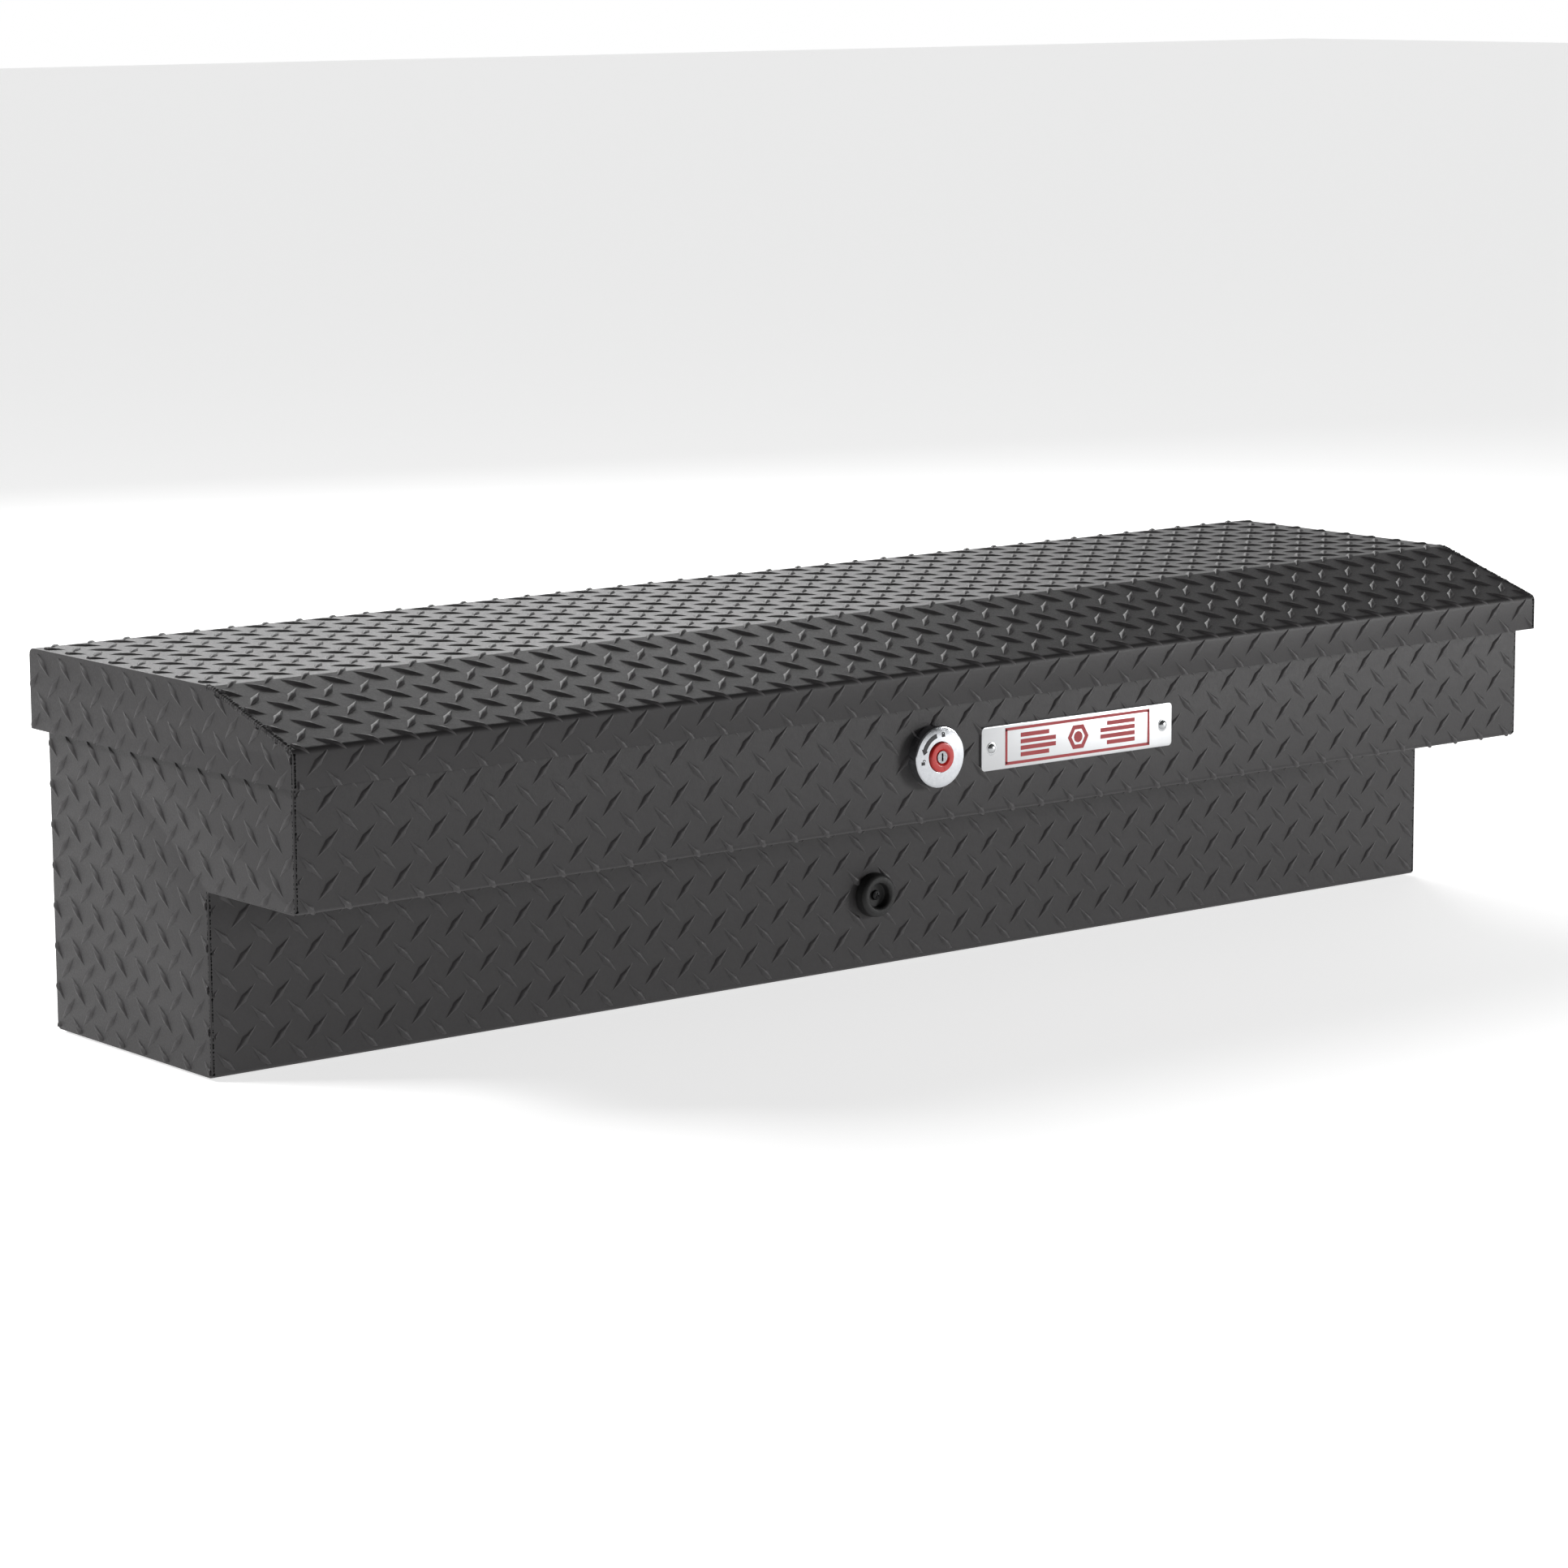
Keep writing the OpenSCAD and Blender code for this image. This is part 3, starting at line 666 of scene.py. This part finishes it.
def buildWeldAndSeamShadowBeads():
    tubLow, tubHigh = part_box("tub_wrapper")
    lidLow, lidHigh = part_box("lid_skin")
    lowFront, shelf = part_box("bumper")[1].y, mounts["shelf_face"].z
    slopeY = lidLow.y + sheetMm["slopeDepth"] * mm
    top = lidLow.z + sheetMm["flange"] * mm
    dip, frontTop, rearTop = (seamMm[k] * mm for k in ("dip", "frontTop", "rearTop"))
    under, tuck = seamMm["bottomDip"] * mm, seamMm["bottomInset"] * mm
    for side, sign in (("Left", -1), ("Right", 1)):
        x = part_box(f"end_panel_{side.lower()}")[1 if sign > 0 else 0].x - sign * seamMm["inset"] * mm
        # the beads in the near-black seam coat are painted shadow: dark strips standing for the shade in the
        # grooves between end panel and sheet
        scallopedBead(f"seamFrontUpper{side}", [(x, tubLow.y + dip, shelf + dip), (x, tubLow.y + dip, frontTop)],
                 seamMm["front"], "tub", seamShadowCoat)
        scallopedBead(f"seamShelf{side}", [(x, tubLow.y + 2 * mm, shelf + dip), (x, lowFront, shelf + dip)],
                 seamMm["shelf"], "tub", seamShadowCoat)
        scallopedBead(f"seamFrontLower{side}", [(x, lowFront + dip, 2 * mm), (x, lowFront + dip, shelf + dip)],
                 seamMm["front"], "tub", seamShadowCoat)
        scallopedBead(f"seamRear{side}", [(x, tubHigh.y - dip, 1.6 * mm), (x, tubHigh.y - dip, rearTop)],
                 seamMm["hidden"], "tub", seamShadowCoat)
        scallopedBead(f"seamBottom{side}", [(x, lowFront + tuck, under), (x, tubHigh.y - tuck, under)],
                 seamMm["hidden"], "tub", seamShadowCoat)
        out = sign * (lidHigh.x - 2.1 * mm)
        scallopedBead(f"weldSlope{side}", [(out, lidLow.y + 2.5 * mm, top - 1.4 * mm),
                                      (out, slopeY - 2 * mm, lidHigh.z - 2.4 * mm),
                                      (out, slopeY + 8 * mm, lidHigh.z - 2 * mm)], 2.6, "lid", sheetCoat,
                 beadMm["swell"])
        out = sign * (lidHigh.x - seamMm["inset"] * mm)
        scallopedBead(f"seamLidCorner{side}", [(out, lidLow.y + dip, lidLow.z + mm),
                                          (out, lidLow.y + dip, top - 2 * mm)],
                 seamMm["lidCorner"], "lid", seamShadowCoat)


buildWeldAndSeamShadowBeads()
print("weld beads and seam shadows laid")


# ---- turned and moulded fittings on the front

def turned(name, outline, at, steps=64):
    # outline holds (radius, distance out of the front wall) in millimetres, spun about an axis along Y
    mesh = bpy.data.meshes.new(name)
    mesh.from_pydata([(at.x + r * mm, at.y - d * mm, at.z) for r, d in outline],
                     [(i, i + 1) for i in range(len(outline) - 1)], [])
    obj = bpy.data.objects.new(name, mesh)
    bpy.context.scene.collection.objects.link(obj)
    editMesh(obj)
    bpy.ops.mesh.spin(steps=steps, angle=2 * math.pi, center=at, axis=(0, 1, 0))
    leaveEdit()
    cleanNormals(obj)
    return obj


def rounded(outline, radius, steps=4):
    # the same outline with its inner corners rounded
    result = [outline[0]]
    for before, corner, after in zip(outline, outline[1:], outline[2:]):
        c = Vector(corner)
        u, v = Vector(before) - c, Vector(after) - c
        inset = min(radius, u.length * 0.45, v.length * 0.45)
        a, b = c + u.normalized() * inset, c + v.normalized() * inset
        for i in range(steps + 1):
            t = i / steps
            result.append(tuple(a * (1 - t) ** 2 + c * 2 * t * (1 - t) + b * t ** 2))
    result.append(outline[-1])
    return result


def inkShape(name, outline, centre, y, thickMm=0.12):
    # a thin printed shape: outline holds (x, z) in millimetres about centre, y is the surface it lies on
    points = [(centre.x + x * mm, y, centre.z + z * mm) for x, z in outline]
    obj = meshPiece(name, points, [tuple(range(len(points)))])
    editMesh(obj)
    bpy.ops.mesh.extrude_region_move(TRANSFORM_OT_translate={"value": (0, -thickMm * mm, 0)})
    leaveEdit()
    cleanNormals(obj)
    return obj


def arcBand(inner, outer, start, end, steps=16):
    angles = [math.radians(start + (end - start) * i / steps) for i in range(steps + 1)]
    return ([(outer * math.cos(a), outer * math.sin(a)) for a in angles]
            + [(inner * math.cos(a), inner * math.sin(a)) for a in reversed(angles)])


def moved(outline, x, z):
    return [(a + x, b + z) for a, b in outline]


def bar(width, height):
    return [(-width / 2, -height / 2), (width / 2, -height / 2), (width / 2, height / 2),
            (-width / 2, height / 2)]


lockMm = {
    "bezelEdge": 1.6, "lip": 0.4, "bore": 13.25, "dome": 1.1, "barrel": 17, "throat": 6, "step": 13.5,
    "collarEdge": 1.4, "spindle": 5, "collarRear": 6.5, "keyBore": 5.55, "keySeat": 3.5,
    "markRadius": 20.4, "markThick": 0.5,
    "padlock": (3.4, 2.8), "shackle": (0.9, 1.5),
}


def buildLock():
    low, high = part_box("lock_housing")
    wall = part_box("tub_wrapper")[0].y
    centre = Vector(((low.x + high.x) / 2, wall, (low.z + high.z) / 2))
    radius, proud = (high.x - low.x) / 2 / mm, (wall - low.y) / mm
    back = (high.y - wall) / mm
    bore = lockMm["bore"]
    barrel, throat, step = lockMm["barrel"], lockMm["throat"], lockMm["step"]
    face = rounded([(radius, 0), (radius, proud - lockMm["dome"]), (bore + lockMm["lip"], proud),
                    (bore, proud - 3 * lockMm["lip"])], lockMm["bezelEdge"], 6)
    outline = ([(barrel, -back), (barrel, 0)] + face
               + [(bore, -step), (throat, -step), (throat, -back), (barrel, -back)])
    bezel = turned("lockBezel", outline, centre, 96)
    smoothBelow(bezel, 32)
    finishPiece(bezel, satinChrome, "tub", ["lock_housing"])
    bLow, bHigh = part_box("button")
    outer, front, tail = (bHigh.x - bLow.x) / 2 / mm, (wall - bLow.y) / mm, (bHigh.y - wall) / mm
    spindle, rear = lockMm["spindle"], lockMm["collarRear"]
    keyBore, keySeat = lockMm["keyBore"], lockMm["keySeat"]
    collar = turned("pushCollar", rounded(
        [(0, -tail), (spindle, -tail), (spindle, -rear), (outer, -rear), (outer, front), (7.6, front),
         (6.4, front - 1.5), (keyBore, front - 1.8), (keyBore, -keySeat), (0, -keySeat)],
        lockMm["collarEdge"], 5), centre, 72)
    smoothBelow(collar, 35)
    finishPiece(collar, redPlastic, "button", ["button"])
    r = lockMm["markRadius"]
    y = low.y + lockMm["dome"] * (r + 1 - bore) / (radius - bore) * mm
    width, height = lockMm["padlock"]
    marks = [arcBand(r - 2.6, r + 1.2, 104, 158),
             [(r * math.cos(math.radians(a)) * k, r * math.sin(math.radians(a)) * k)
              for a, k in ((158, 1.13), (170, 0.97), (158, 0.8))]]
    for angle, lift in ((82, 0), (188, 1.1)):  # closed padlock at the top, open one at the left
        x, z = r * math.cos(math.radians(angle)), r * math.sin(math.radians(angle))
        marks.append(moved(bar(width, height), x, z - 1.2))
        marks.append(moved(arcBand(*lockMm["shackle"], 0, 180, 8), x + lift, z + 0.3 + lift * 0.4))
    inks = [inkShape(f"mark{i}", outline, centre, y, lockMm["markThick"]) for i, outline in enumerate(marks)]
    finishPiece(joinPieces(inks, "lockMarks"), blackInk, "tub")


plateMm = {
    "thick": 1.9, "corner": 4, "edge": 0.5, "frame": 2.7, "frameSpan": (172, 31), "rivetInset": 11.5,
    "bars": 4, "barLength": 46, "barHeight": 3.8, "barPitch": 5.9, "barTaper": 8, "barMiddle": 46,
    "nut": (12.5, 8.0), "nutHole": 5.2, "nutHoleSides": 12,
}


def buildNameplate():
    low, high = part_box("nameplate")
    wall = high.y
    centre = (low + high) / 2
    width, height = (high.x - low.x) / mm, (high.z - low.z) / mm
    deselectAll()
    bpy.ops.mesh.primitive_cube_add(size=1, location=(centre.x, wall - plateMm["thick"] / 2 * mm, centre.z),
                                    scale=(width * mm, plateMm["thick"] * mm, height * mm))
    plate = bpy.context.active_object
    plate.name = "namePlate"
    bakePlace(plate)
    editMesh(plate, selectAll=False)
    bpy.ops.mesh.select_mode(type="EDGE")
    work = bmesh.from_edit_mesh(plate.data)
    for edge in work.edges:
        a, b = (v.co for v in edge.verts)
        edge.select = abs(a.x - b.x) < mm and abs(a.z - b.z) < mm
    bmesh.update_edit_mesh(plate.data)
    bpy.ops.mesh.bevel(offset=plateMm["corner"] * mm, segments=8)
    bpy.ops.mesh.select_all(action="DESELECT")
    work = bmesh.from_edit_mesh(plate.data)
    front = wall - plateMm["thick"] * mm
    for edge in work.edges:
        edge.select = all(abs(v.co.y - front) < 0.01 * mm for v in edge.verts)
    bmesh.update_edit_mesh(plate.data)
    bpy.ops.mesh.bevel(offset=plateMm["edge"] * mm, segments=3)
    leaveEdit()
    smoothBelow(plate, 35)
    finishPiece(plate, plateAluminium, "tub", ["nameplate"])
    # generic print: a square-cornered frame, speed bars and a plain hexagon nut
    spanX, spanZ = plateMm["frameSpan"]
    line = plateMm["frame"]
    inks = []
    for x, z, w, h in ((0, spanZ / 2, spanX + line, line), (0, -spanZ / 2, spanX + line, line),
                       (-spanX / 2, 0, line, spanZ), (spanX / 2, 0, line, spanZ)):
        inks.append(moved(bar(w, h), x, z))
    for index in range(plateMm["bars"]):
        row = index - (plateMm["bars"] - 1) / 2
        short = plateMm["barTaper"] * abs(row)
        for side in (-1, 1):
            inks.append(moved(bar(plateMm["barLength"] - short, plateMm["barHeight"]),
                              side * (plateMm["barMiddle"] + short / 2), row * plateMm["barPitch"]))
    outer, inner = plateMm["nut"]
    for k in range(6):
        corners = [(r * math.cos(math.radians(a)), r * math.sin(math.radians(a)))
                   for r, a in ((outer, 60 * k), (outer, 60 * k + 60),
                                (inner, 60 * k + 60), (inner, 60 * k))]
        inks.append(corners)
    hole, sides = plateMm["nutHole"], plateMm["nutHoleSides"]
    inks.append([(hole * math.cos(2 * math.pi * a / sides), hole * math.sin(2 * math.pi * a / sides))
                 for a in range(sides)])
    printed = joinPieces([inkShape(f"print{i}", o, Vector((centre.x, 0, centre.z)), front + 0.02 * mm)
                          for i, o in enumerate(inks)], "namePlatePrint")
    finishPiece(printed, redInk, "tub")
    rivets = []
    for side in (-1, 1):
        at = Vector((centre.x + side * (width / 2 - plateMm["rivetInset"]) * mm, front, centre.z))
        dome = [(0, 2.5), (1.8, 2.35), (3.2, 1.8), (4.1, 0.9), (4.4, 0.15), (5.4, 0.25), (5.9, 0.0),
                (5.9, -0.6), (0, -0.6)]
        rivets.append(turned(f"rivet{side + 1}", dome, at, 32))
    rivet = joinPieces(rivets, "namePlateRivets")
    smoothBelow(rivet, 50)
    finishPiece(rivet, rivetAluminium, "tub", ["nameplate_rivets"])


screwMm = {"turns": (20, 110), "top": 6, "slot": (5.2, 2, 1.1)}


def buildBumper():
    low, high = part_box("bumper")
    centre = Vector(((low.x + high.x) / 2, high.y, (low.z + high.z) / 2))
    radius, proud = (high.x - low.x) / 2 / mm, (high.y - low.y) / mm
    ring = turned("rubberBumper", rounded(
        [(0, 0), (radius, 0), (radius, 2), (radius - 0.9, proud - 2), (radius - 3.4, proud),
         (radius - 7, proud), (radius - 8.9, proud - 1.5), (radius - 9.4, 3), (0, 3)], 1.6, 5), centre, 72)
    smoothBelow(ring, 40)
    finishPiece(ring, blackRubber, "tub", ["bumper"])
    head = turned("bumperScrewHead", [(0, 3), (4.6, 3), (4.6, 4), (4.0, 5.2), (2.6, 5.9), (0, 6.1)],
                  centre, 36)
    deselectAll()
    slots = []
    for turn in screwMm["turns"]:
        bpy.ops.mesh.primitive_cube_add(size=1, location=centre - Vector((0, screwMm["top"] * mm, 0)),
                                        scale=[v * mm for v in screwMm["slot"]],
                                        rotation=(0, math.radians(turn), 0))
        slot = bpy.context.active_object
        bakePlace(slot)
        slots.append(slot)
    cross = joinPieces(slots, "crossSlot")
    applyModifier(head, "BOOLEAN", object=cross, operation="DIFFERENCE", solver="EXACT", use_self=True)
    bpy.data.objects.remove(cross)
    smoothBelow(head, 35)
    finishPiece(head, blackScrew, "tub", ["bumper_screw"])


buildLock()
buildNameplate()
buildBumper()
print("front fittings made")


# ---- bulb seal round the rim

sealMm = {"width": 9, "inset": 2.5, "station": 60}


def buildSeal():
    low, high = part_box("rim_seal")
    tubLow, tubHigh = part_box("tub_wrapper")
    half = sealMm["width"] / 2 * mm
    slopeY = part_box("lid_skin")[0].y + sheetMm["slopeDepth"] * mm
    steepness = sheetMm["slopeRise"] / sheetMm["slopeDepth"]
    tall = high.z - tubHigh.z
    frontZ = tubHigh.z - (slopeY - tubLow.y - half - sealMm["inset"] * mm) * steepness
    corners = [(low.x + half, low.y + half, frontZ), (high.x - half, low.y + half, frontZ),
               (high.x - half, slopeY, tubHigh.z), (high.x - half, high.y - half, tubHigh.z),
               (low.x + half, high.y - half, tubHigh.z), (low.x + half, slopeY, tubHigh.z)]
    stations = []
    for a, b in zip(corners, corners[1:] + corners[:1]):
        a, b = Vector(a), Vector(b)
        count = max(2, round((b - a).length / (sealMm["station"] * mm)))
        stations += [a.lerp(b, i / count) for i in range(count)]
    halfBulb = [(0.25, 0.985), (0.6, 0.9), (0.86, 0.72), (0.9, 0.5), (0.72, 0.32), (1, 0.25), (1, 0.002)]
    outline = [(-a, up) for a, up in reversed(halfBulb)] + halfBulb
    points, faces, sides = [], [], len(outline)
    for n, here in enumerate(stations):
        before, after = here - stations[n - 1], stations[(n + 1) % len(stations)] - here
        before.z = after.z = 0
        u, v = before.normalized(), after.normalized()
        across = Vector((u.y + v.y, -u.x - v.x, 0)).normalized()
        stretch = 1 / max(0.5, across.dot(Vector((u.y, -u.x, 0))))
        for a, up in outline:
            points.append(here + across * a * half * stretch + Vector((0, 0, up * tall)))
        nextRing = (n + 1) % len(stations)
        faces += [(n * sides + k, n * sides + (k + 1) % sides, nextRing * sides + (k + 1) % sides,
                   nextRing * sides + k) for k in range(sides)]
    seal = meshPiece("rimBulbSeal", points, faces)
    cleanNormals(seal)
    smoothBelow(seal, 50)
    finishPiece(seal, spongeRubber, "tub", ["rim_seal"])


buildSeal()
print("seal made")


# ---- the CAD pieces that stay: hinge, lock works and gas struts

finishes = {
    "stainless_hinge": stainless, "zinc_steel": zincSteel, "satin_chrome": nickelKey,
    "black_paint": strutPaint, "black_nylon": blackNylon, "powder_coated_tread_plate": sheetCoat,
    "red_collar": redPlastic, "black_rubber": blackRubber, "bare_aluminium": rivetAluminium,
}


def dressNodes():
    slots = {s["node"]: s["material_slot"] for s in frame["record"]["subparts"]}
    for name, obj in frame["nodes"].items():
        material = chromedRod if name.startswith("strut_rod") else finishes[slots[name]]
        obj.data.materials.clear()
        obj.data.materials.append(material)


dressNodes()
print("CAD pieces dressed")
